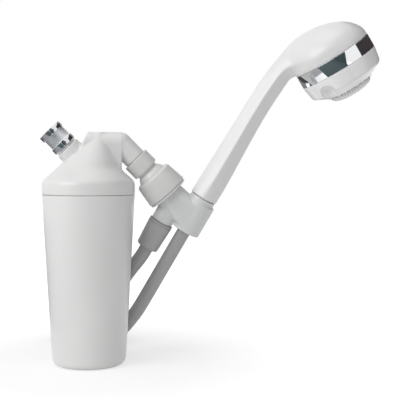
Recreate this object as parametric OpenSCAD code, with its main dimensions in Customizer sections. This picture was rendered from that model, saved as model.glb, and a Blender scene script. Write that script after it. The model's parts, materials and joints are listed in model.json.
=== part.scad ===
// Shower filter with a ball-joint bracket and a hand shower on its hose.
// Millimetres, +Z up. The origin is the centre of the filter's base, +X points from the filter
// to the hand shower, and the hose lies coiled on the +Y side.

/* [Filter housing] */
// Height of the housing from its base to the parting line
housing_h = 184; // [150:1:230]
// Outer radius of the housing at the parting line
housing_r = 50; // [46:0.5:60]
// Outer radius of the housing where its taper reaches the base
housing_base_r = 39.6; // [37:0.2:43]
// Wall of the housing
housing_wall = 3; // [2:0.25:4]
// Thickness of the housing's floor
housing_floor = 4; // [3:0.5:6]
// Rounding of the housing's lower edge
base_round = 8; // [4:0.5:12]
// Height of the threaded neck that stands inside the cap
neck_h = 11; // [9:0.5:11.5]
// Distance between thread turns
thread_pitch = 3.2; // [2.8:0.1:3.6]

/* [Filter cap] */
// Height of the cap's upright band
band_h = 12; // [12:0.5:18]
// Wall of the cap
cap_wall = 3; // [2:0.25:3.5]
// Rounding between the band and the shoulder
shoulder_round = 6; // [3:0.5:8]
// Radius where the shoulder meets the upper cone
cone_r = 34; // [32:0.5:38]
// Height of that edge above the band
shoulder_h = 17; // [14:0.5:20]
// Height of the cap's flat top above the parting line
cap_top_h = 68; // [64:0.5:76]
// Outer radius of the outlet pipe
pipe_r = 12.6; // [11.8:0.1:13]
// Radius of the waterway through the cap
water_r = 6.5; // [5:0.25:7]
// How far the elbow of the outlet lies from the filter's axis
elbow_x = 34.5; // [32:0.5:38]
// Slope of the outlet pipe below the horizontal
outlet_slope = 45; // [42:0.5:48]
// Length of the outlet pipe from the elbow to its shoulder
outlet_len = 22.8; // [20:0.2:26]
// Slope of the inlet boss above the horizontal
inlet_slope = 45; // [43:0.5:47]
// Length of the inlet boss from the filter's axis to its end face
inlet_len = 32; // [30:0.5:36]
// Outer radius of the inlet boss
inlet_boss_r = 13.85; // [13:0.1:15]

/* [Filter cartridge] */
// Outer radius of the cartridge
cartridge_r = 33.5; // [30:0.5:34]
// Height of the cartridge without its neck
cartridge_h = 172; // [140:1:175]
// Wall of the cartridge
cartridge_wall = 1.6; // [1.2:0.1:2.5]
// Height of the copper-zinc layer
metal_media_h = 52; // [30:1:60]
// Thickness of the felt pads
pad_h = 3; // [2:0.5:5]
// Diameter of the drain holes in the cartridge's floor
drain_d = 5; // [3:0.5:6]

/* [Inlet swivel] */
// Radius of the female half-inch thread
inlet_thread_r = 10.45; // [10.2:0.05:10.6]
// Length of the swivel nut
inlet_nut_len = 24.4; // [22:0.2:28]
// Outer radius of the swivel nut's rings
inlet_nut_r = 13.9; // [13.3:0.1:15]
// Radius of the swivel nut's barrel
inlet_barrel_r = 12.4; // [11.8:0.1:12.8]
// Width of each ring
inlet_ring_w = 6.4; // [5:0.2:7]
// Number of grip lugs round each ring
inlet_lugs = 6; // [5:1:10]
// Radius of the inlet stem
stem_r = 9; // [8.2:0.1:9.2]

/* [Ball joint] */
// Radius of the ball
ball_r = 17.5; // [16.5:0.1:17.8]
// Distance from the outlet pipe's shoulder to the ball's centre
ball_reach = 31.8; // [30.5:0.2:36]
// Radius of the collar that screws onto the outlet pipe
coupling_r = 15.2; // [13.8:0.1:15.5]
// Length of that collar
coupling_len = 17; // [14:0.2:17]
// Radius of the neck between the collar and the ball
ball_neck_r = 12.1; // [10.5:0.1:12.4]
// Radius of the waterway through the ball
ball_water_r = 5; // [4:0.25:6]
// Thickness of the liner round the ball
liner_t = 0.8; // [0.6:0.05:1]
// Outer radius of the ball nut at its foot
ball_nut_r = 24.2; // [23.6:0.1:27]
// Outer radius of the ball nut at its shoulder
ball_nut_top_r = 21; // [20.6:0.1:23]
// How far the ball nut reaches below the ball's centre
ball_nut_below = 18.7; // [17.5:0.1:21]
// How far the ball nut reaches above the ball's centre
ball_nut_above = 5.7; // [5:0.1:7]
// Angle of the ball nut's axis from the vertical
joint_lean = 41.5; // [40:0.5:45]
// Turn of the bracket about the ball nut's axis at rest
bracket_turn = 11.5; // [0:0.5:20]

/* [Bracket] */
// Distance from the ball's centre to the cup's rim, along the ball nut's axis
cup_drop = 50; // [48:0.5:56]
// Distance from the ball nut's axis to the cup's rim centre
cup_side = 26.5; // [24:0.5:32]
// Angle between the ball nut's axis and the cup's axis
cup_angle = 70.8; // [68:0.2:74]
// Length of the cup
cup_len = 42; // [38:0.5:48]
// Outer radius of the cup
cup_r = 17; // [16.4:0.1:18.5]
// Outer radius of the cup's lip
lip_r = 14.5; // [14.3:0.1:15.5]
// Height of the cup's lip
lip_h = 5; // [3:0.5:7]
// Radius of the cup's bore at the rim
cup_bore_r = 13.2; // [12.8:0.1:13.6]
// Radius of the cup's bore at its foot
cup_foot_r = 11.2; // [10.8:0.1:11.8]
// Width of the slot that the hose passes through
slot_w = 16.6; // [16.2:0.1:18]
// Radius of the bracket's neck
bracket_neck_r = 16; // [14:0.25:18]
// Distance between the cup's axis and the hose outlet's axis
branch_side = 27; // [26.6:0.1:30]
// Radius of the hose outlet
branch_r = 12.2; // [11.4:0.1:12.8]
// Length of the hose outlet below the cup's rim
branch_len = 46; // [44:0.5:50]

/* [Hose fittings] */
// Radius of the male half-inch threads
male_thread_r = 10.3; // [9.9:0.05:10.3]
// Length of the male threads
male_thread_len = 9; // [7:0.5:10]
// Length of the hose nut
hose_nut_len = 33; // [30:0.5:38]
// Radius of the hose nut at its mouth
hose_nut_r = 13.85; // [13:0.1:15]
// Radius of the hose nut at its foot
hose_nut_foot_r = 12.4; // [11.6:0.1:13]
// Length of the conical nut on the hand shower
cone_nut_len = 38; // [34:0.5:41]
// Play between the conical nut and the cup
cone_play = 0.35; // [0.3:0.05:0.5]
// Thickness of the hose washers
washer_t = 2.4; // [1.6:0.2:3]

/* [Hose] */
// Diameter of the hose
hose_d = 15.5; // [14:0.1:16]

/* [Hand shower] */
// Wall of the hand shower's shell
shell_wall = 2.4; // [1.8:0.1:3]
// Radius of the head at the chrome band
head_r = 44; // [42:0.25:47]
// Width of the chrome band
band_w = 15; // [12:0.25:17]
// Thickness of the chrome band
band_t = 1.2; // [1:0.1:2]
// Radius of the water tube in the handle
tube_r = 5.2; // [4.5:0.1:6]
// Bore of the water tube
tube_bore_r = 3.8; // [3:0.1:4.2]
// Depth of the spray housing in front of the band
face_depth = 24.4; // [22:0.2:28]
// Wall of the spray housing
face_wall = 2.6; // [2:0.1:3.2]
// Radius of the flat front of the spray housing
face_flat_r = 22; // [20:0.25:23]
// Radius of the thumb recesses
recess_r = 11; // [9:0.5:13]
// Number of rubber nozzles
nozzles = 20; // [12:1:24]
// Diameter of a nozzle
nozzle_d = 2.6; // [2:0.1:3.2]

/* [Spray dial] */
// Radius of the spray dial
dial_r = 23.6; // [22:0.25:26]
// Height of the spray dial
dial_h = 8.6; // [6:0.2:9]
// Radius of the dial's hub
hub_r = 8; // [6:0.25:9]
// Number of ribs round the dial
ribs = 48; // [36:1:56]
// Diameter of the groove between two ribs
rib_groove_d = 1.9; // [1.4:0.1:2.2]
// Number of massage jets in the dial's face
jets = 8; // [5:1:10]

/* [Hidden] */
$fn = 64;

// Gaps between pieces
seam = 0.3;
running = 0.06;
snug = 0.1;

// How much larger the ball in the corner of a bent pipe is than the pipe
knuckle = 0.15;

// Housing and cap
taper = (housing_r - housing_base_r) / housing_h;
skirt_r = housing_r - cap_wall;
thread_depth = 0.7;
thread_first = 3;
neck_r = skirt_r - thread_depth - seam;
neck_wall = 3;
neck_root = 8;
neck_blend = 4;
floor_blend_h = 5;
floor_blend_w = 2.4;
thread_half = 0.9;
seal_t = 1.5;
seal_inset = 0.6;
ledge_h = neck_h + seal_t;
ledge_r = neck_r - neck_wall - 1;
roof_h = band_h + shoulder_h - cap_wall;
roof_blend_h = 3;
roof_blend_w = 4;
cone_tip_x = 12;
cone_tip_r = 7.6;
pipe_back_x = -14;
web_r = pipe_r + 0.8;
web_half = web_r - 0.2;
web_from_x = 5;
web_to_x = elbow_x + 0.7;
web_low = 22;
pipe_back_slope = 62;
elbow_z = housing_h + cap_top_h - pipe_r;
web_z = cap_top_h - pipe_r - 0.5;
socket_r = 11.5;
socket_bore_r = 9.6;
socket_h = 9;
inlet_axis_h = 28.4;
stem_seat = 21;
drop_r = 4.5;
drop_x = 1 - stem_seat * cos(inlet_slope);

// Cartridge
cartridge_neck_r = 7.3;
cartridge_neck_wall = 1.8;
cartridge_neck_top = 2;
drain_pitch = 9;
drain_spacing = 2.6;
lid_h = 5;
gasket_h = 3;
gasket_up = 4;
cartridge_z = housing_floor;
inside_z = cartridge_z + cartridge_wall;
pad_low_z = inside_z;
metal_z = pad_low_z + pad_h;
pad_mid_z = metal_z + metal_media_h;
carbon_z = pad_mid_z + pad_h;
lid_z = cartridge_z + cartridge_h - lid_h;
carbon_h = lid_z - pad_h - carbon_z;
media_r = cartridge_r - cartridge_wall - snug;

// Inlet swivel
stem_collar_w = 2.3;
nut_start = inlet_len + seam + stem_collar_w + seam;
nut_back = 3;
flange_t = 2;
flange_at = nut_start + nut_back + seam;
stem_flange_r = inlet_thread_r - 0.35;
screen_t = 0.6;
nut_relief = seam + flange_t + washer_t + screen_t + seam;
lug_gap = 3;
lug_depth = 0.7;
thread_relief = 0.5;

// Ball joint
ball_s = outlet_len + ball_reach;
ball_at = [elbow_x + ball_s * cos(outlet_slope), 0, elbow_z - ball_s * sin(outlet_slope)];
liner_in_r = ball_r + running;
liner_out_r = liner_in_r + liner_t;
pocket_r = liner_out_r + seam;
liner_top = -10;
liner_foot = -14;
pocket_top = -4.5;
collar_top = -6.3;
stem_sink = 4;
nut_edge = 0.6;
nut_round = 3.5;
collar_r = ball_nut_top_r - 0.6;
flange_r = ball_nut_r - 0.8;
flange_h = 2.6;
flange_z = -ball_nut_below - seam;
ball_seal_r = 7.2;
ball_seal_t = 1.6;
outlet_washer_t = 2;

// Bracket and hose fittings
hose_r = hose_d / 2;
thread_bore_r = male_thread_r + snug;
nut_gap = 0.4;
collar_t = 2.2;
collar_bore_r = 3.6;
branch_top = -24;
cup_step = 1.5;
lip_step = 0.8;
web_top = 6;
web_foot = 4;
way_depth = 14;
way_up = 6;
nut_groove = 0.7;
nut_groove_at = 3;
nut_foot_round = 2;
branch_end = -branch_len - male_thread_len;
bracket_hose_z = branch_end - washer_t - collar_t;
spigot_end = -male_thread_len;
handle_hose_z = spigot_end - washer_t - collar_t;

// Hand shower: the head's frame lies in the middle of the band's upper edge
handle_len = 148;
handle_foot_r = 15.4;
handle_waist_r = 12.7;
head_x = 41;
neck_rise = 55.3;
head_z = handle_len + neck_rise;
head_angle = 117.8;
dome_h = 35.7;
neck_back = 8.6;
neck_up = 14;
neck_front = 8.5;
foot_gap = 0.5;
spigot_h = 8;
spigot_foot = 2;
shell_sides = 28;
round_edge = 14;
manifold_w = 10;
manifold_t = 3;
gasket_w = manifold_w + manifold_t;
face_w = band_w + 0.2;
front_w = face_w + face_depth;
face_r = head_r - 0.2;
face_rim = 2;
cavity_inset = 11.5;
cavity_r = head_r - cavity_inset;
cavity_end_r = cavity_r - 3.5;
cavity_slope_w = 5;
screw_inset = 6.5;
screw_ring_r = head_r - screw_inset;
screws = 3;
screw_r = 1.5;
screw_len = 8;
screw_head_r = 2.8;
screw_head_h = 2.4;
recess_at = head_r + 2;
recess_up = 9.6;
recess_w = front_w - recess_up;
recess_side = 52;
nozzle_ring_r = cavity_r - 7.1;
nozzle_web_w = 6.4;
nozzle_web_t = 1.6;
nozzle_out = 1.2;
jet_ring_r = 13;
port_w = -2;
elbow_w = -14;
tube_bend_up = 10;
socket_depth = 6;
socket_wall = 2;
jet_r = 1.4;
detent_r = 15;
detent_ball_r = 2;
detent_bore_r = 2.4;
detent_boss_r = 3.6;
detent_boss_h = 5;
spring_r = 1.7;
spring_wire_r = 0.3;
spring_turns = 5;
dial_w = front_w + seam;
hub_len = 9.7;
disc_t = 2.8;
disc_w = dial_w - hub_len - disc_t;
disc_r = 20;
ball_w = disc_w - seam - detent_ball_r;
dial_side_w = 2.4;
dial_bore_r = 2.1;
disc_port_r = 1.8;
dial_screw_r = 2;
dial_screw_head_r = 4.5;
dial_flat_r = dial_screw_head_r + 1.1;
dial_screw_head_h = 2;

// Hose: the points of the two runs and the size of the hank
hank_at = [7.5, 147];
hank_lean = -2.8;
hank_fold_r = 39;
hank_len = 140;
hank_layers = 4;
tie_t = 1;
tie_w = 20;
short_route = [[73.7, 7.8, 142.2], [64.55, 11.4, 125.65], [59.3, 13.8, 116.3], [54, 18, 108.3],
    [49, 24, 101], [44.5, 30.5, 93.5], [40.5, 37.5, 86], [37, 46, 77.5], [35, 56, 69],
    [35, 68, 62], [38, 82, 58], [42, 98, 56], [45, 114, 55.5]];
long_route = [[119.2, -2.7, 168.85], [105, 2.9, 143.15], [78.15, 13.5, 94.6], [63.9, 19.2, 68.8],
    [54.4, 23, 52.5], [45.5, 28.5, 39.5], [39.5, 33, 32], [32, 39.5, 24], [23.5, 46.5, 16.8],
    [13, 54, 11.5], [1, 62, 9], [-11, 71, 8.8], [-21.5, 82, 8.8], [-29, 96, 8.8], [-32, 112, 8.8]];

function on_arc(c, r, from, to, n = 6) =
    [for (i = [0:n]) c + r * [cos(from + (to - from) * i / n), sin(from + (to - from) * i / n)]];

// Frames
module in_cap() translate([0, 0, housing_h]) children();
module in_inlet() in_cap() translate([0, 0, inlet_axis_h]) rotate([0, inlet_slope - 90, 0]) children();
module in_outlet() translate([elbow_x, 0, elbow_z]) rotate([0, 90 + outlet_slope, 0]) children();
module in_ball() translate(ball_at) rotate([0, -joint_lean, 0]) rotate([0, 0, -bracket_turn]) children();
module in_cup() in_ball() translate([cup_side, 0, -cup_drop]) rotate([0, cup_angle, 0]) children();
module in_branch() in_cup() translate([-branch_side, 0, 0]) children();
module in_head() in_cup() translate([head_x, 0, head_z]) rotate([0, head_angle, 0]) children();

// Building blocks
module rod(low, high, r) translate([0, 0, min(low, high)]) cylinder(h = abs(high - low), r = r);
module cone(low, high, r_low, r_high) translate([0, 0, low]) cylinder(h = high - low, r1 = r_low, r2 = r_high);
module ring(low, high, outer, inner) difference() {
    rod(low, high, outer);
    rod(low - 1, high + 1, inner);
}
module around(n, r, start = 0) for (i = [0:n - 1]) rotate([0, 0, start + i * 360 / n]) translate([r, 0, 0]) children();
module bar(p, q, r) {
    d = q - p;
    translate(p) rotate([0, acos(d[2] / norm(d)), atan2(d[1], d[0])]) cylinder(h = norm(d), r = r);
}
module thread_ring(z, r, depth, half) rotate_extrude()
    polygon([[r - 0.4 * sign(depth), z - half], [r, z - half], [r + depth, z - half / 3],
        [r + depth, z + half / 3], [r, z + half], [r - 0.4 * sign(depth), z + half]]);

// A skin over equal rings of points, closed at both ends
module skin(rings) {
    n = len(rings[0]);
    m = len(rings);
    polyhedron(
        points = [for (r = rings) for (p = r) p],
        faces = concat(
            [[for (j = [n - 1:-1:0]) j]],
            [for (i = [0:m - 2]) for (j = [0:n - 1]) [i * n + j, i * n + (j + 1) % n, (i + 1) * n + (j + 1) % n]],
            [for (i = [0:m - 2]) for (j = [0:n - 1]) [i * n + j, (i + 1) * n + (j + 1) % n, (i + 1) * n + j]],
            [[for (j = [0:n - 1]) (m - 1) * n + j]]));
}

// A round tube along a line of points, each ring square to the line. No stretch runs along off_line
off_line = [0.85, 0.5, -0.3];
function ahead(line, i) = let (a = line[max(i - 1, 0)], b = line[min(i + 1, len(line) - 1)]) (b - a) / norm(b - a);
function ring_at(p, d, r, n) = let (
        u = cross(d, off_line),
        x = u / norm(u),
        y = cross(d, x))
    [for (j = [0:n - 1]) p + r * (cos(j * 360 / n) * x + sin(j * 360 / n) * y)];
module tube_along(line, r, n = 10) skin([for (i = [0:len(line) - 1]) ring_at(line[i], ahead(line, i), r, n)]);

// A smooth line through its points
function spline(k, t) = let (
        i = min(floor(t), len(k) - 2),
        u = t - i,
        a = k[max(i - 1, 0)], b = k[i], c = k[i + 1], d = k[min(i + 2, len(k) - 1)])
    0.5 * (2 * b + (c - a) * u + (2 * a - 5 * b + 4 * c - d) * u * u + (3 * b - a - 3 * c + d) * u * u * u);
function smooth(k, steps) = [for (i = [0:(len(k) - 1) * steps]) spline(k, i / steps)];

// ---- Filter ----

module housing() {
    lean = atan(taper);
    side = function(z) housing_base_r + taper * z;
    inner_top = housing_h - neck_root - neck_blend;
    inner_low = housing_floor + floor_blend_h;
    round_at = [housing_base_r + taper * base_round - base_round / cos(lean), base_round];
    color("whitesmoke") {
        rotate_extrude() polygon(concat(
            [[0, 0]],
            on_arc(round_at, base_round, -90, -lean),
            [[housing_r, housing_h], [neck_r, housing_h], [neck_r, housing_h + neck_h],
                [neck_r - neck_wall, housing_h + neck_h], [neck_r - neck_wall, housing_h - neck_root],
                [side(inner_top) - housing_wall, inner_top],
                [side(inner_low) - housing_wall, inner_low],
                [side(housing_floor) - housing_wall - floor_blend_w, housing_floor], [0, housing_floor]]));
        for (z = [thread_first:thread_pitch:neck_h - 1])
            thread_ring(housing_h + z, neck_r, thread_depth, thread_half);
    }
}

module cap_outside() {
    in_cap() rotate_extrude() polygon(concat(
        [[0, seam], [housing_r, seam]],
        on_arc([housing_r - shoulder_round, band_h], shoulder_round, 0, 45, 4),
        [[cone_r, band_h + shoulder_h], [0, band_h + shoulder_h]]));
    hull() {
        in_cap() rod(band_h + shoulder_h - 1, band_h + shoulder_h, cone_r);
        in_cap() translate([cone_tip_x, 0, 0]) rod(cap_top_h - 1, cap_top_h, cone_tip_r);
    }
    in_inlet() rod(0, inlet_len, inlet_boss_r);
    difference() {
        in_cap() translate([pipe_back_x, 0, web_z]) rotate([0, 90, 0]) rod(0, web_to_x - pipe_back_x, web_r);
        in_cap() translate([pipe_back_x, 0, cap_top_h - 2 * pipe_r]) rotate([0, -pipe_back_slope, 0])
            translate([-pipe_r, -2 * pipe_r, 0]) cube([5 * pipe_r, 4 * pipe_r, 2 * pipe_r]);
    }
    in_cap() translate([web_from_x, -web_half, web_low]) cube([web_to_x - web_from_x, 2 * web_half, web_z - web_low]);
    translate([elbow_x, 0, elbow_z]) sphere(r = pipe_r + knuckle);
    in_outlet() {
        rod(0, outlet_len, pipe_r);
        rod(0, outlet_len + male_thread_len, male_thread_r);
    }
}

module cap_inside() {
    in_cap() {
        rotate_extrude() polygon([[0, -1], [skirt_r, -1], [skirt_r, ledge_h], [ledge_r, ledge_h],
            [ledge_r, ledge_h + roof_blend_h], [cone_r - roof_blend_w, roof_h], [0, roof_h]]);
        rod(roof_h - 1, elbow_z - housing_h, water_r);
        translate([drop_x, 0, 0]) rod(roof_h - 1, inlet_axis_h + stem_seat * sin(inlet_slope) + drop_r / 2, drop_r);
    }
    in_inlet() rod(stem_seat, inlet_len + 1, stem_r + snug);
    translate([0, 0, elbow_z]) {
        sphere(r = water_r + knuckle);
        rotate([0, 90, 0]) rod(0, elbow_x, water_r);
        translate([elbow_x, 0, 0]) sphere(r = water_r + knuckle);
    }
    in_outlet() rod(0, outlet_len + male_thread_len + 1, water_r);
}

module cap() color("white") {
    difference() {
        cap_outside();
        cap_inside();
    }
    in_cap() ring(socket_h, roof_h + 0.5, socket_r, socket_bore_r);
    for (z = [thread_first + thread_pitch / 2:thread_pitch:neck_h - 1])
        in_cap() thread_ring(z, skirt_r, -thread_depth, thread_half);
}

module housing_seal() color("dimgray") in_cap() ring(neck_h, ledge_h, neck_r - seal_inset, ledge_r + seal_inset);

module cartridge_shell() color("lightsteelblue") difference() {
    rod(cartridge_z, lid_z, cartridge_r);
    rod(inside_z, lid_z + 1, cartridge_r - cartridge_wall);
    for (r = [drain_pitch:drain_pitch:3 * drain_pitch]) around(round(r / drain_spacing), r)
        rod(cartridge_z - 1, inside_z + 1, drain_d / 2);
}

module cartridge_lid() color("steelblue") difference() {
    union() {
        rod(lid_z, lid_z + lid_h, cartridge_r);
        rod(lid_z, housing_h + roof_h - cartridge_neck_top, cartridge_neck_r);
    }
    rod(lid_z - 1, housing_h + roof_h, cartridge_neck_r - cartridge_neck_wall);
}

module metal_media() color("goldenrod") rod(metal_z, pad_mid_z, media_r);

module felt_pads() color("ivory") for (z = [pad_low_z, pad_mid_z, lid_z - pad_h])
    rod(z, z + pad_h, media_r);

module carbon_media() color("black") rod(carbon_z, carbon_z + carbon_h, media_r);

module cartridge_gasket() color("dimgray") in_cap()
    ring(socket_h + gasket_up, socket_h + gasket_up + gasket_h, socket_bore_r, cartridge_neck_r);

// ---- Inlet swivel ----

module inlet_stem() color("silver") in_inlet() difference() {
    union() {
        rod(stem_seat + seam, flange_at + flange_t, stem_r);
        rod(inlet_len + seam, inlet_len + seam + stem_collar_w, inlet_barrel_r - 0.2);
        rod(flange_at, flange_at + flange_t, stem_flange_r);
    }
    rod(stem_seat, flange_at + flange_t + 1, water_r);
}

module inlet_washer() color("black") in_inlet() translate([0, 0, flange_at + flange_t])
    ring(0, washer_t, stem_flange_r, water_r);

module inlet_screen() color("gray") in_inlet()
    translate([0, 0, flange_at + flange_t + washer_t]) rod(0, screen_t, stem_flange_r - 0.4);

module inlet_nut() color("silver") in_inlet() translate([0, 0, nut_start]) difference() {
    union() {
        rod(0, inlet_nut_len, inlet_barrel_r);
        for (z = [0, inlet_nut_len - inlet_ring_w]) difference() {
            rod(z, z + inlet_ring_w, inlet_nut_r);
            around(inlet_lugs, inlet_nut_r, 180 / inlet_lugs) translate([-lug_depth, -lug_gap / 2, z - 1])
                cube([2 * lug_depth, lug_gap, inlet_ring_w + 2]);
        }
    }
    rod(-1, nut_back + 1, stem_r + running);
    rod(nut_back, nut_back + nut_relief, inlet_thread_r + thread_relief);
    rod(nut_back, inlet_nut_len + 1, inlet_thread_r);
}

// ---- Ball joint ----

module ball_stem() color("gainsboro") in_outlet() difference() {
    union() {
        rod(outlet_len + seam, outlet_len + coupling_len, coupling_r);
        rod(outlet_len + coupling_len - 1, ball_s - stem_sink, ball_neck_r);
        translate([0, 0, ball_s]) sphere(r = ball_r);
    }
    rod(outlet_len, outlet_len + male_thread_len + outlet_washer_t, thread_bore_r);
    rod(outlet_len, ball_s + ball_r + 1, ball_water_r);
}

module outlet_washer() color("dimgray") in_outlet() translate([0, 0, outlet_len + male_thread_len])
    ring(0, outlet_washer_t, male_thread_r, water_r);

module ball_liner() color("ivory") in_ball() difference() {
    intersection() {
        sphere(r = liner_out_r);
        rod(liner_foot, liner_top, liner_out_r + 1);
    }
    sphere(r = liner_in_r);
}

module ball_nut() color("gainsboro") in_ball() difference() {
    rotate_extrude() polygon(concat(
        [[0, -ball_nut_below], [ball_nut_r - nut_edge, -ball_nut_below], [ball_nut_r, nut_edge - ball_nut_below]],
        on_arc([ball_nut_top_r - nut_round, ball_nut_above - nut_round], nut_round, 8, 90, 5),
        [[0, ball_nut_above]]));
    sphere(r = ball_r + seam);
    intersection() {
        sphere(r = pocket_r);
        rod(-ball_nut_below, pocket_top, pocket_r);
    }
    rod(-ball_nut_below - 1, collar_top + seam, collar_r + seam);
}

module ball_seal() color("black") in_ball()
    ring(seam - ball_r - ball_seal_t, seam - ball_r, ball_seal_r, ball_water_r + 0.2);

// ---- Bracket ----

module bracket_outside() {
    rod(flange_z, collar_top, collar_r);
    rod(flange_z - flange_h, flange_z, flange_r);
}

module cup_outside() {
    rod(-cup_len, -lip_h - cup_step, cup_r);
    cone(-lip_h - cup_step, -lip_h, cup_r, lip_r + lip_step);
    rod(-lip_h, 0, lip_r);
}

module bracket() color("lightgray") difference() {
    union() {
        in_ball() bracket_outside();
        in_cup() cup_outside();
        hull() {
            in_ball() rod(flange_z - flange_h, flange_z - flange_h + 0.5, bracket_neck_r, $fn = 48);
            in_cup() rod(web_foot - cup_len, -lip_h - web_top, cup_r - 0.3, $fn = 48);
        }
        in_branch() {
            rod(-branch_len, branch_top, branch_r);
            rod(branch_end, -branch_len, male_thread_r);
        }
    }
    in_ball() {
        sphere(r = pocket_r);
        rod(seam - ball_r - ball_seal_t, -ball_r + 3, ball_seal_r + snug);
        rod(flange_z - way_depth, -ball_r, ball_water_r);
    }
    in_branch() rod(branch_end - 1, branch_top + way_up, ball_water_r);
    in_cup() {
        cone(-cup_len, 0, cup_foot_r, cup_bore_r);
        rod(-cup_len - 1, 1 - cup_len, cup_foot_r);
        translate([-slot_w / 2, 0, -cup_len - 1]) cube([slot_w, cup_r + 10, cup_len + 2]);
    }
}

module bracket_washer() color("black") in_branch()
    ring(branch_end - washer_t, branch_end, male_thread_r, ball_water_r);

module hose_nut() color("darkgray") in_branch() difference() {
    low = -branch_len - nut_gap - hose_nut_len;
    high = -branch_len - nut_gap;
    rim = high - nut_groove_at / 2;
    rotate_extrude() polygon(concat(
        [[0, low]],
        on_arc([hose_nut_foot_r - nut_foot_round, low + nut_foot_round], nut_foot_round, -90, 0, 4),
        [[hose_nut_r, rim - 1.5], [hose_nut_r - nut_groove, rim - 1.1], [hose_nut_r - nut_groove, rim - 0.4],
            [hose_nut_r, rim], [hose_nut_r - nut_edge, high], [0, high]]));
    rod(bracket_hose_z, high + 1, thread_bore_r);
    rod(low - 1, bracket_hose_z + 1, hose_r + seam);
}

module hose_barb_bracket() color("silver") in_branch()
    ring(bracket_hose_z, bracket_hose_z + collar_t, male_thread_r, collar_bore_r);

module hose_barb_handle() color("silver") in_cup()
    ring(handle_hose_z, handle_hose_z + collar_t, male_thread_r, collar_bore_r);

module cone_nut() color("darkgray") in_cup() difference() {
    cup_slope = (cup_bore_r - cup_foot_r) / cup_len;
    cone(-cone_nut_len - seam, -seam, cup_bore_r - cone_play - cup_slope * cone_nut_len, cup_bore_r - cone_play);
    rod(handle_hose_z, 1, male_thread_r + running);
    rod(-cone_nut_len - 1, handle_hose_z + 1, hose_r + seam);
}

module handle_washer() color("black") in_cup()
    ring(spigot_end - washer_t, spigot_end, male_thread_r - 0.3, ball_water_r);

// ---- Hand shower ----

// A point of the head's frame, as x and z of the cup's frame: along the face away from the handle, then forward
function head_point(along, forward) = [
    head_x - along * cos(head_angle) + forward * sin(head_angle),
    head_z + along * sin(head_angle) + forward * cos(head_angle)];

// Back point, front point and half width of a section of the shell, and how flat its faces are
function grip_section(x, z, r, flat) = [x - r, z, x + r, z, r, flat];
function head_section(back, front, half, flat = 0) = concat(back, front, [half, flat]);

shell_sections = [
    grip_section(0, foot_gap, handle_foot_r, 0),
    grip_section(0.3, handle_len * 0.2, handle_foot_r * 0.5 + (handle_waist_r + 1.8) * 0.5, 0.3),
    grip_section(0.4, handle_len * 0.42, handle_waist_r + 1.1, 0.9),
    grip_section(0.5, handle_len * 0.64, handle_waist_r + 0.2, 0.9),
    grip_section(0.8, handle_len * 0.8, handle_waist_r, 0.9),
    grip_section(2.5, handle_len, handle_waist_r, 0.9),
    head_section([-neck_back, handle_len + neck_up], head_point(-head_r + 0.2, -neck_front), handle_waist_r + 0.8, 0.8),
    head_section(head_point(-head_r * 0.9, -dome_h * 0.81), head_point(-head_r + 0.3, -4.5), handle_waist_r + 3.3, 0.4),
    head_section(head_point(-head_r * 0.68, -dome_h * 0.96), head_point(-head_r + 0.3, -2.8), head_r / 2),
    head_section(head_point(-head_r * 0.34, -dome_h), head_point(-head_r + 0.2, -1.8), head_r * 0.66),
    head_section(head_point(head_r * 0.19, -dome_h * 0.91), head_point(-head_r + 0.1, -1), head_r * 0.84),
    head_section(head_point(head_r * 0.69, -dome_h * 0.65), head_point(-head_r, -0.5), head_r * 0.96),
    head_section(head_point(head_r * 0.96, -dome_h * 0.27), head_point(-head_r, -0.2), head_r * 0.995),
    head_section(head_point(head_r, 0), head_point(-head_r, 0), head_r)];

// A point of a section: two flat faces on each side, which meet in a ridge, with round edges at back and front
function section_point(a, flat) = let (
        turned = acos(abs(cos(a))),
        share = max(turned - round_edge, 0) / (90 - round_edge),
        across = abs(cos(a)) + (cos(round_edge) * (1 - share) - abs(cos(a))) * flat,
        out = abs(sin(a)) + (sin(round_edge) + (1 - sin(round_edge)) * share - abs(sin(a))) * flat)
    turned > round_edge ? [across * sign(cos(a)), out * sign(sin(a))] : [cos(a), sin(a)];

// The ring of a section, drawn in by a wall
function section_ring(s, wall) = let (
        back = [s[0], 0, s[1]],
        front = [s[2], 0, s[3]],
        half = (front - back) / 2,
        reach = max(norm(half) - wall, 1) / norm(half))
    [for (j = [0:shell_sides - 1]) let (at = section_point(j * 360 / shell_sides, s[5]))
        (back + front) / 2 + reach * at[0] * half - [0, max(s[4] - wall, 1) * at[1], 0]];
function shifted(ring, by) = [for (p = ring) p + by];

module handle_shell() color("white") in_cup() {
    sections = smooth(shell_sections, 2);
    inner = [for (s = sections) section_ring(s, shell_wall)];
    forward = [sin(head_angle), 0, cos(head_angle)];
    difference() {
        skin([for (s = sections) section_ring(s, 0)]);
        skin(concat([shifted(inner[0], [0, 0, -1])], inner, [shifted(inner[len(inner) - 1], forward)]));
    }
}

module handle_spigot() color("gainsboro") in_cup() difference() {
    union() {
        rod(foot_gap, foot_gap + spigot_h, handle_foot_r - shell_wall - 0.4);
        rod(spigot_end, foot_gap + 1, male_thread_r);
    }
    rod(spigot_end - 1, foot_gap + spigot_h + 1, tube_bore_r);
    rod(foot_gap + spigot_foot, foot_gap + spigot_h + 1, tube_r + snug);
}

module water_tube() color("ivory") in_cup() {
    elbow = head_point(0, elbow_w);
    port = head_point(0, port_w);
    line = [[0, 0, foot_gap + spigot_foot], [0, 0, handle_len + tube_bend_up], [elbow[0], 0, elbow[1]], [port[0], 0, port[1]]];
    difference() {
        union() for (i = [0:len(line) - 2]) {
            bar(line[i], line[i + 1], tube_r);
            if (i > 0) translate(line[i]) sphere(r = tube_r + knuckle);
        }
        for (i = [0:len(line) - 2]) {
            bar(line[i], line[i + 1], tube_bore_r);
            if (i > 0) translate(line[i]) sphere(r = tube_bore_r + knuckle);
        }
    }
}

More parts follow.
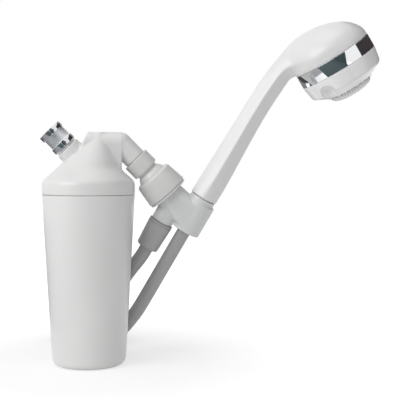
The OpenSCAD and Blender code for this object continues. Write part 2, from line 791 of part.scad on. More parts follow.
module manifold() color("gainsboro") in_head() difference() {
    union() {
        rod(manifold_w, gasket_w, head_r - band_t - 0.4);
        rod(port_w - socket_depth, manifold_w + 1, tube_r + snug + socket_wall);
        translate([0, detent_r, 0]) rod(gasket_w - 1, gasket_w + detent_boss_h, detent_boss_r);
    }
    rod(port_w - socket_depth - 1, port_w, tube_r + snug);
    rod(port_w - 1, gasket_w + 1, tube_bore_r);
    around(screws, screw_ring_r) rod(manifold_w - 1, gasket_w + 1, screw_r + snug);
    translate([0, detent_r, 0]) rod(gasket_w, gasket_w + detent_boss_h + 1, detent_bore_r);
}

module chrome_band() color("silver") in_head() ring(seam, band_w, head_r, head_r - band_t);

module head_seal() color("black") in_head() ring(gasket_w, face_w, head_r - band_t - 0.5, screw_ring_r + 2 * screw_r);

module spray_housing() color("white") in_head() difference() {
    rotate_extrude() polygon(concat(
        [[0, face_w], [face_r, face_w]],
        [for (a = [0:15:90]) [face_flat_r + (face_r - face_flat_r) * cos(a), face_w + face_rim + (face_depth - face_rim) * sin(a)]],
        [[0, front_w]]));
    rod(face_w - 1, front_w - face_wall - cavity_slope_w, cavity_r);
    cone(front_w - face_wall - cavity_slope_w - 0.01, front_w - face_wall, cavity_r, cavity_end_r);
    rod(face_w, front_w + 1, hub_r + running);
    around(screws, screw_ring_r) rod(face_w - 1, face_w + screw_len + 1, screw_r + snug);
    around(nozzles, nozzle_ring_r) rod(front_w - face_wall - 1, front_w + 1, nozzle_d / 2 + snug);
    around(jets, jet_ring_r) rod(front_w - face_wall - 1, front_w + 1, jet_r);
    for (a = [-recess_side, recess_side]) rotate([0, 0, a]) translate([recess_at, 0, recess_w]) {
        sphere(r = recess_r);
        cylinder(h = front_w - recess_w + 1, r = recess_r);
    }
}

module housing_screws() color("silver") in_head() around(screws, screw_ring_r) {
    rod(manifold_w - screw_head_h, manifold_w, screw_head_r);
    rod(manifold_w - 1, face_w + screw_len, screw_r);
}

module nozzle_ring() color("lightgray") in_head() {
    ring(front_w - face_wall - nozzle_web_t, front_w - face_wall,
        nozzle_ring_r + nozzle_web_w / 2, nozzle_ring_r - nozzle_web_w / 2);
    around(nozzles, nozzle_ring_r)
        cone(front_w - face_wall - nozzle_web_t / 2, front_w + nozzle_out, nozzle_d / 2, nozzle_d / 2 - 0.4);
}

module detent_spring() color("silver") in_head() translate([0, detent_r, 0]) {
    low = gasket_w + spring_wire_r + 0.1;
    high = ball_w - sqrt(pow(detent_ball_r + spring_wire_r, 2) - pow(spring_r, 2)) - 0.2;
    tube_along([for (i = [0:spring_turns * 10])
        [spring_r * cos(i * 36), spring_r * sin(i * 36), low + i * (high - low) / spring_turns / 10]], spring_wire_r, 8);
}

module detent_ball() color("silver") in_head() translate([0, detent_r, ball_w]) sphere(r = detent_ball_r);

// ---- Spray dial ----

module spray_dial() color("gainsboro") in_head() difference() {
    union() {
        rotate_extrude() polygon(concat(
            [[0, dial_w], [dial_r, dial_w]],
            [for (a = [0:15:90]) [dial_flat_r + (dial_r - dial_flat_r) * cos(a), dial_w + dial_side_w + (dial_h - dial_side_w) * sin(a)]],
            [[0, dial_w + dial_h]]));
        rod(disc_w + disc_t, dial_w + 1, hub_r);
    }
    around(ribs, dial_r + 0.35) rod(dial_w + 0.8, dial_w + dial_h + 1, rib_groove_d / 2);
    around(jets, jet_ring_r) rod(dial_w - 1, dial_w + dial_h + 1, jet_r);
    rod(dial_w + dial_h - dial_screw_head_h, dial_w + dial_h + 1, dial_screw_head_r + seam);
    rod(disc_w, dial_w + dial_h, dial_bore_r);
}

module diverter_disc() color("steelblue") in_head() difference() {
    rod(disc_w, disc_w + disc_t, disc_r);
    rod(disc_w - 1, disc_w + disc_t + 1, dial_bore_r);
    around(jets, jet_ring_r, 180 / jets) rod(disc_w - 1, disc_w + disc_t + 1, disc_port_r);
}

module dial_screw() color("silver") in_head() {
    rod(dial_w + dial_h - dial_screw_head_h, dial_w + dial_h + 0.2, dial_screw_head_r);
    rod(disc_w - 1, dial_w + dial_h - 1, dial_screw_r);
}

// ---- Hose ----

// The line of a run with a point at each step, and no further apart than a ring of the tube may be
module hose_run(route, steps) color("darkgray") tube_along(smooth(route, steps), hose_r, 10);

module hose_short_run() hose_run(short_route, 2);

module hose_long_run() hose_run(long_route, 2);

module hose_outline(grow) {
    reach = hank_len / 2 - hank_fold_r - hose_r;
    for (s = [-1, 1]) translate([0, s * reach]) circle(r = hank_fold_r + hose_r + grow);
    square([2 * (hank_fold_r + hose_r + grow), 2 * reach], center = true);
}

module hose_hank() color("darkgray") translate([hank_at[0], hank_at[1], tie_t]) rotate([0, 0, hank_lean])
    linear_extrude(hank_layers * hose_d) hose_outline(0);

module hose_tie() color("black") translate([hank_at[0], hank_at[1], 0]) rotate([0, 0, hank_lean]) {
    half = hank_fold_r + hose_r;
    high = hank_layers * hose_d + 2 * tie_t;
    difference() {
        translate([-half - tie_t, -tie_w / 2, 0]) cube([2 * (half + tie_t), tie_w, high]);
        translate([-half, -tie_w, tie_t]) cube([2 * half, 2 * tie_w, high - 2 * tie_t]);
    }
}

housing();
cap();
housing_seal();
cartridge_shell();
cartridge_lid();
metal_media();
felt_pads();
carbon_media();
cartridge_gasket();
inlet_stem();
inlet_washer();
inlet_screen();
inlet_nut();
ball_stem();
outlet_washer();
ball_liner();
ball_nut();
ball_seal();
bracket();
bracket_washer();
hose_nut();
hose_barb_bracket();
hose_barb_handle();
cone_nut();
handle_washer();
handle_shell();
handle_spigot();
water_tube();
manifold();
chrome_band();
head_seal();
spray_housing();
housing_screws();
nozzle_ring();
detent_spring();
detent_ball();
spray_dial();
diverter_disc();
dial_screw();
hose_short_run();
hose_long_run();
hose_hank();
hose_tie();
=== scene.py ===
import json
import math

import bpy
from mathutils import Matrix, Vector

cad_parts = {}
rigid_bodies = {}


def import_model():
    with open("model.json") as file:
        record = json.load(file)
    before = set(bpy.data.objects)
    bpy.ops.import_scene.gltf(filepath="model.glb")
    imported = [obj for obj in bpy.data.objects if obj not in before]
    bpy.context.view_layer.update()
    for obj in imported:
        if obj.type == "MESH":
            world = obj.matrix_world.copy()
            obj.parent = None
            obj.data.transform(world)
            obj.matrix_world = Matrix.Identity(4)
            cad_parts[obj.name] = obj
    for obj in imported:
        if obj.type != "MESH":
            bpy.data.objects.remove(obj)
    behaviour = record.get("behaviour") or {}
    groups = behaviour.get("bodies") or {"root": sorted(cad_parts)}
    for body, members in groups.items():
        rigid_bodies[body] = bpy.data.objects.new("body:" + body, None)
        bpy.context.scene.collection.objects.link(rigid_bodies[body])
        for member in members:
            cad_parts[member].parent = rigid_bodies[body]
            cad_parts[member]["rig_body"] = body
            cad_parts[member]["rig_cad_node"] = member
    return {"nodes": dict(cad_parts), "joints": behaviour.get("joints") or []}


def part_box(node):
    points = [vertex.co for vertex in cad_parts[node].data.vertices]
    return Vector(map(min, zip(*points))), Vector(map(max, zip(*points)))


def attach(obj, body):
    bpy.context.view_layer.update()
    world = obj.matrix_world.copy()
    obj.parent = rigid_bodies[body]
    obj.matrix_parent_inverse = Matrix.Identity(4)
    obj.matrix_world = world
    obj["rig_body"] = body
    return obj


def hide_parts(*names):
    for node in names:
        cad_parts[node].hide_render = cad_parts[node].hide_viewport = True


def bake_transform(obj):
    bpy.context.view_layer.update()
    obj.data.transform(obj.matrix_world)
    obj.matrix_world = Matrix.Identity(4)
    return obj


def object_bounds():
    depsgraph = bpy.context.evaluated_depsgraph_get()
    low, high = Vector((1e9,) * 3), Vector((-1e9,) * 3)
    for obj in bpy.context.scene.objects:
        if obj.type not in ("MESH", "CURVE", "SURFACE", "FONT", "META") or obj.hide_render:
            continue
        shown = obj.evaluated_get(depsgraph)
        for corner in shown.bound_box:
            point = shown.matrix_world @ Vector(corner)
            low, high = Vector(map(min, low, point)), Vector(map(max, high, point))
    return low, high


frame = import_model()
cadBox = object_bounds()
cadMiddle = (cadBox[0] + cadBox[1]) / 2
nodes = frame["nodes"]
joints = {joint["name"]: joint for joint in frame["joints"]}
mm = 0.001
print("frame loaded,", len(nodes), "nodes")


# Where things are, from the joints: z runs along each joint's axis, and the ball, the cup and the head
# share one y

def axisFrame(place, zAxis, yAxis):
    x = yAxis.cross(zAxis)
    turned = Matrix((x, yAxis, zAxis)).transposed().to_4x4()
    return Matrix.Translation(place) @ turned


def jointPlace(name):
    return Vector(joints[name]["pos_m"])


def jointAxis(name):
    return Vector(joints[name]["axis"]).normalized()


ballUp = -jointAxis("bracket_turn")
cupUp = jointAxis("handset_turn")
sideways = ballUp.cross(cupUp).normalized()
acrossFilter = Vector((0, 1, 0))
outletDown = Vector((1, 0, -1)).normalized()
ballFrame = axisFrame(jointPlace("bracket_turn"), ballUp, sideways)
cupFrame = axisFrame(jointPlace("handset_turn"), cupUp, sideways)
headFrame = axisFrame(jointPlace("dial_turn"), jointAxis("dial_turn"), sideways)
inletFrame = axisFrame(jointPlace("inlet_nut_turn"), jointAxis("inlet_nut_turn"), acrossFilter)
outletFrame = axisFrame(jointPlace("ball_tilt"), outletDown, acrossFilter)


# Selecting, modifiers and placing

def deselectAll():
    if bpy.context.mode != "OBJECT":
        bpy.ops.object.mode_set(mode="OBJECT")
    bpy.ops.object.select_all(action="DESELECT")


def pick(piece):
    deselectAll()
    piece.select_set(True)
    bpy.context.view_layer.objects.active = piece


def modify(piece, kind, **settings):
    pick(piece)
    modifier = piece.modifiers.new(kind.lower(), kind)
    for key, value in settings.items():
        setattr(modifier, key, value)
    bpy.ops.object.modifier_apply(modifier=modifier.name)


def smoothByAngle(piece, degrees=35):
    pick(piece)
    bpy.ops.object.shade_smooth_by_angle(angle=math.radians(degrees))


def selectWhere(piece, kind, wanted):
    bpy.ops.object.mode_set(mode="EDIT")
    bpy.ops.mesh.select_all(action="DESELECT")
    bpy.ops.object.mode_set(mode="OBJECT")
    for part in getattr(piece.data, kind):
        part.select = wanted(part)
    bpy.ops.object.mode_set(mode="EDIT")


def weld(gap=0.01):
    bpy.ops.mesh.select_all(action="SELECT")
    bpy.ops.mesh.remove_doubles(threshold=gap * mm)


def faceOutwards():
    bpy.ops.mesh.select_all(action="SELECT")
    bpy.ops.mesh.normals_make_consistent(inside=False)
    bpy.ops.object.mode_set(mode="OBJECT")


def cutAway(piece, cutter, solver):
    modify(piece, "BOOLEAN", object=cutter, operation="DIFFERENCE", solver=solver)
    bpy.data.objects.remove(cutter)


def placeMesh(piece, matrix):
    piece.data.transform(matrix @ piece.matrix_world)
    piece.matrix_world = Matrix.Identity(4)


def ready(piece, name, material, body, slot, *stands):
    piece.name = piece.data.name = name
    piece.data.materials.clear()
    piece.data.materials.append(material)
    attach(piece, body)
    if stands:
        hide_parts(*stands)
    return piece


# Shader helpers: a wire is a socket that takes part in sums

class Wire:
    def __init__(self, tree, socket):
        self.tree = tree
        self.socket = socket

    def math(self, operation, *others):
        made = self.tree.nodes.new("ShaderNodeMath")
        made.operation = operation
        for number, value in enumerate((self, *others)):
            connect(self.tree, made.inputs[number], value)
        return Wire(self.tree, made.outputs[0])

    def __add__(self, other):
        return self.math("ADD", other)

    def __mul__(self, other):
        return self.math("MULTIPLY", other)

    def __rsub__(self, other):
        return (self * -1) + other

    __radd__ = __add__
    __rmul__ = __mul__


def connect(tree, target, value):
    if isinstance(value, Wire):
        tree.links.new(value.socket, target)
    else:
        target.default_value = value


class Nodes:
    def __init__(self, tree):
        self.tree = tree

    def add(self, kind, settings=None, inputs=None):
        made = self.tree.nodes.new(kind)
        for key, value in (settings or {}).items():
            setattr(made, key, value)
        for key, value in (inputs or {}).items():
            connect(self.tree, made.inputs[key], value)
        return made

    def wire(self, made, output=0):
        return Wire(self.tree, made.outputs[output])

    def show(self, target, made):
        connect(self.tree, self.tree.nodes[target].inputs["Surface"], self.wire(made))


class Finish(Nodes):
    def __init__(self, name, **values):
        self.material = bpy.data.materials.new(name)
        self.material.use_nodes = True
        super().__init__(self.material.node_tree)
        self.surface = self.tree.nodes["Principled BSDF"]
        self.place = self.wire(self.add("ShaderNodeTexCoord"), "Object")
        for key, value in values.items():
            self.feed(key, value)

    def feed(self, key, value):
        connect(self.tree, self.surface.inputs[key.replace("_", " ")], value)

    def noise(self, scale, detail=2.0):
        inputs = {"Vector": self.place, "Scale": scale, "Detail": detail}
        return self.wire(self.add("ShaderNodeTexNoise", None, inputs))

    def spots(self, scale):
        return self.wire(self.add("ShaderNodeTexVoronoi", None, {"Vector": self.place, "Scale": scale}))

    def blend(self, factor, colorA, colorB):
        made = self.add("ShaderNodeMix", {"data_type": "RGBA"}, {0: factor, 6: colorA, 7: colorB})
        return self.wire(made, 2)

    def vector(self, operation, inputs, output=0):
        return self.wire(self.add("ShaderNodeVectorMath", {"operation": operation}, inputs), output)

    def fromAxis(self, point, axis):
        offset = self.vector("SUBTRACT", {0: self.place, 1: point})
        crossed = self.vector("CROSS_PRODUCT", {0: offset, 1: axis})
        return self.vector("LENGTH", {0: crossed}, "Value")

    def span(self, value, low, high, start=0.0, end=1.0):
        return self.wire(self.add("ShaderNodeMapRange", None, {0: value, 1: low, 2: high, 3: start, 4: end}))

    def bump(self, height, strength, distance):
        inputs = {"Strength": strength, "Distance": distance, "Height": height}
        self.feed("Normal", self.wire(self.add("ShaderNodeBump", None, inputs)))


def tint(value, warm=0.0, share=1.0):
    return (value * share + warm, value * share, value * share - warm, 1)


# Moulded plastic: a little cloudiness in the colour, uneven gloss and a fine skin
def plasticFinish(name, tone, warm, rough, coat, skin):
    finish = Finish(name, Coat_Roughness=0.08, IOR=1.5)
    cloud = finish.noise(scale=9)
    gloss = finish.noise(scale=45, detail=4)
    finish.feed("Base_Color", finish.blend(cloud, tint(tone, warm, share=0.985), tint(tone, warm)))
    finish.feed("Roughness", finish.span(gloss, low=0.3, high=0.7, start=rough - 0.03, end=rough + 0.04))
    finish.feed("Coat_Weight", coat)
    finish.bump(finish.noise(scale=1400), strength=skin, distance=0.00006)
    return finish.material


# Plated metal: bright, with faint wiping marks that change the gloss and barely the colour
def chromeFinish():
    finish = Finish("polishedChrome", Metallic=1.0)
    wiped = finish.noise(scale=60, detail=5)
    finish.feed("Base_Color", finish.blend(wiped, (0.82, 0.83, 0.84, 1), (0.88, 0.89, 0.90, 1)))
    finish.feed("Roughness", finish.span(wiped, low=0.3, high=0.75, start=0.03, end=0.08))
    return finish.material


# The nut's rings are polished and the barrel between them is satin: gloss goes by the distance from its axis
nutGloss = dict(ringRadius=13, fade=0.15, satin=0.5, polished=0.045, marks=0.03)


def nutFinish():
    finish = Finish("nutChrome", Metallic=1.0)
    wiped = finish.noise(scale=110, detail=4)
    finish.feed("Base_Color", finish.blend(wiped, (0.70, 0.71, 0.73, 1), (0.80, 0.81, 0.83, 1)))
    fromAxis = finish.fromAxis(inletFrame.translation, inletFrame.col[2].to_3d())
    gloss = finish.span(fromAxis, low=(nutGloss["ringRadius"] - nutGloss["fade"]) * mm,
                        high=(nutGloss["ringRadius"] + nutGloss["fade"]) * mm,
                        start=nutGloss["satin"], end=nutGloss["polished"])
    finish.feed("Roughness", gloss + wiped * nutGloss["marks"])
    return finish.material


def steelFinish():
    finish = Finish("brushedSteel", Metallic=1.0)
    brushed = finish.noise(scale=700, detail=4)
    finish.feed("Base_Color", finish.blend(brushed, (0.50, 0.50, 0.51, 1), (0.68, 0.68, 0.69, 1)))
    finish.feed("Roughness", finish.span(brushed, low=0.2, high=0.8, start=0.22, end=0.42))
    finish.bump(brushed, strength=0.10, distance=0.0001)
    return finish.material


def rubberFinish(name, tone):
    finish = Finish(name)
    dust = finish.noise(scale=90, detail=5)
    finish.feed("Base_Color", finish.blend(dust, tint(tone, share=0.8), tint(tone, share=1.15)))
    finish.feed("Roughness", finish.span(dust, low=0.2, high=0.8, start=0.5, end=0.75))
    finish.bump(finish.noise(scale=1400, detail=3), strength=0.15, distance=0.0002)
    return finish.material


# Granules: each grain is lighter in its middle and darker at its edge, which paints shade into the gaps
# between grains; the bump follows the same cells
def granuleFinish(name, dark, light, rough):
    finish = Finish(name)
    grainsAndGapShade = finish.spots(scale=900)
    finish.feed("Base_Color", finish.blend(finish.span(grainsAndGapShade, low=0.0, high=0.6), light, dark))
    finish.feed("Roughness", rough)
    finish.bump(1 - grainsAndGapShade, strength=0.8, distance=0.0006)
    return finish.material


def feltFinish():
    finish = Finish("filterFelt", Roughness=0.95)
    fibres = finish.noise(scale=1600, detail=6)
    finish.feed("Base_Color", finish.blend(fibres, (0.66, 0.65, 0.60, 1), (0.86, 0.85, 0.81, 1)))
    finish.bump(fibres, strength=0.7, distance=0.0006)
    return finish.material


def strapFinish():
    finish = Finish("tieStrap", Roughness=0.9)
    loops = finish.spots(scale=1300)
    finish.feed("Base_Color", finish.blend(loops, (0.012, 0.012, 0.013, 1), (0.05, 0.05, 0.055, 1)))
    finish.bump(loops, strength=0.9, distance=0.0005)
    return finish.material


plastics = dict(
    housingWhite=dict(tone=0.785, warm=0.004, rough=0.34, coat=0.12, skin=0.05),
    bracketGray=dict(tone=0.72, warm=-0.004, rough=0.36, coat=0.10, skin=0.10),
    nutGray=dict(tone=0.70, warm=0.005, rough=0.36, coat=0.10, skin=0.10),
    hoseNutGray=dict(tone=0.43, warm=-0.002, rough=0.42, coat=0.0, skin=0.12),
    hoseGray=dict(tone=0.42, warm=-0.001, rough=0.40, coat=0.0, skin=0.08),
    handsetWhite=dict(tone=0.825, warm=0.002, rough=0.34, coat=0.12, skin=0.03),
    # The spray housing is the handset's white plastic with painted light: its tone is raised because it
    # faces down, away from the lamps
    sprayWhite=dict(tone=0.93, warm=0.000, rough=0.26, coat=0.2, skin=0.03),
    dialGray=dict(tone=0.88, warm=0.000, rough=0.32, coat=0.10, skin=0.05),
    insideWhite=dict(tone=0.66, warm=0.006, rough=0.45, coat=0.0, skin=0.10),
)
finishes = {name: plasticFinish(name, **values) for name, values in plastics.items()}
finishes.update(
    chrome=chromeFinish(),
    nutChrome=nutFinish(),
    steel=steelFinish(),
    sealRubber=rubberFinish("sealRubber", 0.035),
    nozzleRubber=rubberFinish("nozzleRubber", 0.50),
    metalGranules=granuleFinish("metalGranules", dark=(0.30, 0.18, 0.05, 1), light=(0.85, 0.62, 0.30, 1),
                                rough=0.4),
    carbonGranules=granuleFinish("carbonGranules", dark=tint(0.006), light=tint(0.05), rough=0.7),
    felt=feltFinish(),
    strap=strapFinish(),
)
print("finishes made:", len(finishes))


# Camera

cameraView = dict(place=(-46.0, -956.2, 209.9), turn=-10, down=1.9, lens=78.83, sensor=36, near=0.05)


def addCamera():
    deselectAll()
    angles = (math.radians(90 - cameraView["down"]), 0, math.radians(cameraView["turn"]))
    bpy.ops.object.camera_add(location=Vector(cameraView["place"]) * mm, rotation=angles)
    camera = bpy.context.object
    camera.data.sensor_width = cameraView["sensor"]
    camera.data.lens = cameraView["lens"]
    camera.data.clip_start = cameraView["near"]
    bpy.context.scene.camera = camera


addCamera()
print("camera set")


# Hose: the long run leaves the hand shower, the hank takes up the length, the short run ends in the bracket

hose = dict(diameter=15.5, sides=24, steps=6, foldRadius=39, hankLength=140, hankAt=(7.5, 147),
            hankLean=-2.8, turns=3.5, perTurn=60, lift=1)
shortRoute = [(73.7, 7.8, 142.2), (64.55, 11.4, 125.65), (59.3, 13.8, 116.3), (54, 18, 108.3),
              (49, 24, 101), (44.5, 30.5, 93.5), (40.5, 37.5, 86), (37, 46, 77.5), (35, 56, 69),
              (35, 68, 62), (38, 82, 58), (42, 98, 56), (45, 114, 55.5)]
longRoute = [(119.2, -2.7, 168.85), (105, 2.9, 143.15), (78.15, 13.5, 94.6), (63.9, 19.2, 68.8),
             (54.4, 23, 52.5), (45.5, 28.5, 39.5), (39.5, 33, 32), (32, 39.5, 24), (23.5, 46.5, 16.8),
             (13, 54, 11.5), (1, 62, 9), (-11, 71, 8.8), (-21.5, 82, 8.8), (-29, 96, 8.8), (-32, 112, 8.8)]


# A smooth curve through b and c, with its neighbours a and d giving the direction
def between(values, share):
    a, b, c, d = values
    return 0.5 * (2 * b + (c - a) * share + (2 * a - 5 * b + 4 * c - d) * share * share
                  + (3 * b - a - 3 * c + d) * share ** 3)


def fourAround(items, i):
    return items[max(i - 1, 0)], items[i], items[i + 1], items[min(i + 2, len(items) - 1)]


def smoothLine(route):
    points = [Vector(point) * mm for point in route]
    line = []
    for i in range(len(points) - 1):
        for step in range(hose["steps"]):
            line.append(between(fourAround(points, i), step / hose["steps"]))
    return line + [points[-1]]


def easeIn(share):
    share = min(max(share, 0), 1)
    return share * share * (3 - 2 * share)


def hankLine():
    radius = hose["foldRadius"]
    half = hose["hankLength"] / 2 - radius - hose["diameter"] / 2
    straight = 2 * half
    fold = math.pi * radius
    turn = 2 * (straight + fold)
    lean = Matrix.Rotation(math.radians(hose["hankLean"]), 3, "Z")
    centre = Vector((*hose["hankAt"], hose["lift"] + hose["diameter"] / 2))
    top = math.floor(hose["turns"])
    line = []
    for i in range(round(hose["turns"] * hose["perTurn"]) + 1):
        layer, part = divmod(i, hose["perTurn"])
        s = part / hose["perTurn"] * turn
        if s < straight:
            x, y = -radius, s - half
        elif s < straight + fold:
            angle = (s - straight) / radius
            x, y = -radius * math.cos(angle), half + radius * math.sin(angle)
        elif s < 2 * straight + fold:
            x, y = radius, half - (s - straight - fold)
        else:
            angle = (s - 2 * straight - fold) / radius
            x, y = radius * math.cos(angle), -half - radius * math.sin(angle)
        rise = easeIn((s - straight - fold) / (straight + fold / 2)) if layer < top else 0
        lifted = Vector((0, 0, (layer + rise) * hose["diameter"]))
        line.append((centre + lean @ Vector((x, y, 0)) + lifted) * mm)
    return line


def hoseTube(name, line):
    curve = bpy.data.curves.new(name, "CURVE")
    curve.dimensions = "3D"
    curve.bevel_depth = hose["diameter"] / 2 * mm
    curve.bevel_resolution = hose["sides"] // 4 - 2
    curve.use_fill_caps = True
    spline = curve.splines.new("POLY")
    spline.points.add(len(line) - 1)
    for point, place in zip(spline.points, line):
        point.co = (*place, 1)
    piece = bpy.data.objects.new(name, curve)
    bpy.context.scene.collection.objects.link(piece)
    pick(piece)
    bpy.ops.object.convert(target="MESH")
    bpy.ops.object.mode_set(mode="EDIT")
    weld()
    faceOutwards()
    smoothByAngle(piece, 50)
    piece.data.materials.append(finishes["hoseGray"])
    return piece


# The line is cut into stretches, one between each two neighbouring bodies, and the line after the last cut
# is handed back
def hoseStretches(name, line, cuts, bodies):
    along = [0.0]
    for a, b in zip(line, line[1:]):
        along.append(along[-1] + (b - a).length)
    ends = [min(range(len(along)), key=lambda i: abs(along[i] - cut * mm)) for cut in cuts]
    pieces = []
    for i, (near, far) in enumerate(zip(bodies, bodies[1:])):
        piece = hoseTube(f"{name}_{i + 1}", line[ends[i]:ends[i + 1] + 1])
        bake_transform(piece)
        pieces.append(piece)
    return pieces, line[ends[-1]:]


# How far along each run its stretches end
hoseCuts = dict(long=(0, 36, 76, 110, 142), short=(0, 50, 85, 120))
longStretches, longRest = hoseStretches("hose_to_handset", smoothLine(longRoute), hoseCuts["long"],
                                        ["hose_end", "bracket", "ball_nut", "ball_liner", "filter"])
shortStretches, shortRest = hoseStretches("hose_to_bracket", smoothLine(shortRoute), hoseCuts["short"],
                                          ["bracket", "ball_nut", "ball_liner", "filter"])
hoseLine = longRest + hankLine() + shortRest[::-1]
hoseLength = sum((b - a).length for a, b in zip(hoseLine, hoseLine[1:]))
mainHose = hoseTube("hose", hoseLine)
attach(mainHose, "filter")
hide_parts("hose_short_run", "hose_long_run", "hose_hank")


tie = dict(width=20, thick=1, round=7.0, roundSteps=6, edge=0.3, edgeSteps=2, edgeAngle=50)


def hoseTie():
    low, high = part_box("hose_tie")
    half = hose["foldRadius"] + hose["diameter"] / 2 + tie["thick"]
    tall = (high.z - low.z) / mm
    bpy.ops.mesh.primitive_cube_add(size=1, location=(0, 0, tall / 2 * mm))
    piece = bpy.context.object
    piece.scale = (2 * half * mm, tie["width"] * mm, tall * mm)
    bpy.ops.object.transform_apply(location=True, scale=True)

    def runsAcross(edge):
        a, b = (piece.data.vertices[i].co for i in edge.vertices)
        return abs(a.y - b.y) > tie["width"] * mm / 2

    selectWhere(piece, "edges", runsAcross)
    bpy.context.tool_settings.mesh_select_mode = (False, True, False)
    bpy.ops.mesh.bevel(offset=tie["round"] * mm, segments=tie["roundSteps"])
    bpy.context.tool_settings.mesh_select_mode = (False, False, True)
    selectWhere(piece, "polygons", lambda face: abs(face.normal.y) > 0.9)
    bpy.ops.mesh.delete(type="FACE")
    bpy.ops.object.mode_set(mode="OBJECT")
    modify(piece, "SOLIDIFY", thickness=tie["thick"] * mm, offset=-1)
    modify(piece, "BEVEL", width=tie["edge"] * mm, segments=tie["edgeSteps"], limit_method="ANGLE",
           angle_limit=math.radians(tie["edgeAngle"]))
    lean = Matrix.Rotation(math.radians(hose["hankLean"]), 4, "Z")
    placeMesh(piece, Matrix.Translation(Vector((*hose["hankAt"], 0)) * mm) @ lean)
    smoothByAngle(piece)
    return ready(piece, "hose_strap", finishes["strap"], "filter", "tie_black", "hose_tie")


hoseStrap = hoseTie()
print("hose:", round(hoseLength, 3), "m on the floor and in the hank")


# Turned pieces: an outline of (radius, height, rounding), spun about the z axis

def roundedOutline(corners, steps=5):
    outline = []
    for i, (radius, height, rounding) in enumerate(corners):
        here = Vector((radius, height))
        if not rounding:
            outline.append(here)
            continue
        back = Vector(corners[i - 1][:2]) - here
        ahead = Vector(corners[(i + 1) % len(corners)][:2]) - here
        opening = back.angle(ahead) / 2
        back.normalize()
        ahead.normalize()
        centre = here + (back + ahead).normalized() * rounding / math.sin(opening)
        first = here + back * rounding / math.tan(opening) - centre
        last = here + ahead * rounding / math.tan(opening) - centre
        sweep = math.atan2(first.x * last.y - first.y * last.x, first.dot(last))
        for step in range(steps + 1):
            outline.append(centre + Matrix.Rotation(sweep * step / steps, 2) @ first)
    return outline


def turnedPiece(corners, matrix=Matrix.Identity(4), around=96):
    outline = roundedOutline(corners)
    mesh = bpy.data.meshes.new("turned")
    closed = [(i, (i + 1) % len(outline)) for i in range(len(outline))]
    edges = [pair for pair in closed if outline[pair[0]].x > 0 or outline[pair[1]].x > 0]
    mesh.from_pydata([(point.x * mm, 0, point.y * mm) for point in outline], edges, [])
    piece = bpy.data.objects.new("turned", mesh)
    bpy.context.scene.collection.objects.link(piece)
    pick(piece)
    bpy.ops.object.mode_set(mode="EDIT")
    bpy.ops.mesh.select_all(action="SELECT")
    bpy.ops.mesh.spin(steps=around, angle=2 * math.pi, center=(0, 0, 0), axis=(0, 0, 1))
    weld(gap=0.002)
    faceOutwards()
    placeMesh(piece, matrix)
    smoothByAngle(piece, 40)
    return piece


# Lofted pieces: one circle for each ring of points, bridged one to the next and round to the first

def loftedPiece(rings):
    deselectAll()
    circles = []
    for ring in rings:
        bpy.ops.mesh.primitive_circle_add(vertices=len(ring), radius=mm)
        circle = bpy.context.object
        for vertex, place in zip(circle.data.vertices, ring):
            vertex.co = place
        circles.append(circle)
    for circle in circles:
        circle.select_set(True)
    bpy.context.view_layer.objects.active = circles[0]
    bpy.ops.object.join()
    piece = bpy.context.object
    sides = len(rings[0])
    bpy.context.tool_settings.mesh_select_mode = (False, True, False)
    for i in range(len(rings)):
        pair = {i, (i + 1) % len(rings)}

        def isOnPair(edge):
            a, b = (number // sides for number in edge.vertices)
            return a == b and a in pair

        selectWhere(piece, "edges", isOnPair)
        bpy.ops.mesh.bridge_edge_loops()
    faceOutwards()
    bpy.context.tool_settings.mesh_select_mode = (False, False, True)
    return piece


# Copies of a node, and pieces whose inner and outer corners are all softened, as in a moulding

def nodeCopy(node):
    deselectAll()
    piece = nodes[node].copy()
    piece.data = nodes[node].data.copy()
    piece.parent = None
    piece.matrix_world = Matrix.Identity(4)
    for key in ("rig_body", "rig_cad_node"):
        del piece[key]
    bpy.context.scene.collection.objects.link(piece)
    pick(piece)
    bpy.ops.object.mode_set(mode="EDIT")
    weld()
    bpy.ops.object.mode_set(mode="OBJECT")
    return piece


def softened(piece, voxel, passes, keep=1.0):
    modify(piece, "REMESH", mode="VOXEL", voxel_size=voxel * mm, use_smooth_shade=True)
    modify(piece, "SMOOTH", factor=0.5, iterations=passes)
    if keep < 1:
        modify(piece, "DECIMATE", ratio=keep)
        bpy.ops.object.shade_smooth()
    return piece


# Filter housing, its cap and the swivel nut

housing = dict(height=184, radius=50, baseRadius=39.6, wall=3, floor=4, baseRound=8, floorRound=4, edge=0.9,
               neckRadius=46, neckHeight=11, neckEdge=0.4, stepDown=8, slopeDown=12)


def housingShell():
    height, wall = housing["height"], housing["wall"]
    slope = (housing["radius"] - housing["baseRadius"]) / height
    neckTop = height + housing["neckHeight"]
    neckInside = housing["neckRadius"] - wall
    slopeTop = height - housing["slopeDown"]
    return turnedPiece([
        (0, 0, 0),
        (housing["baseRadius"], 0, housing["baseRound"]),
        (housing["radius"], height, housing["edge"]),
        (housing["neckRadius"], height, 0),
        (housing["neckRadius"], neckTop, housing["neckEdge"]),
        (neckInside, neckTop, housing["neckEdge"]),
        (neckInside, height - housing["stepDown"], 0),
        (housing["baseRadius"] + slope * slopeTop - wall, slopeTop, 0),
        (housing["baseRadius"] - wall, housing["floor"], housing["floorRound"]),
        (0, housing["floor"], 0)], around=160)


cap = dict(voxel=0.75, passes=6, keep=0.6, fold=206, reach=14, plateau=1.4, foldPasses=120,
           upShare=0.4, outsideSharpness=3)


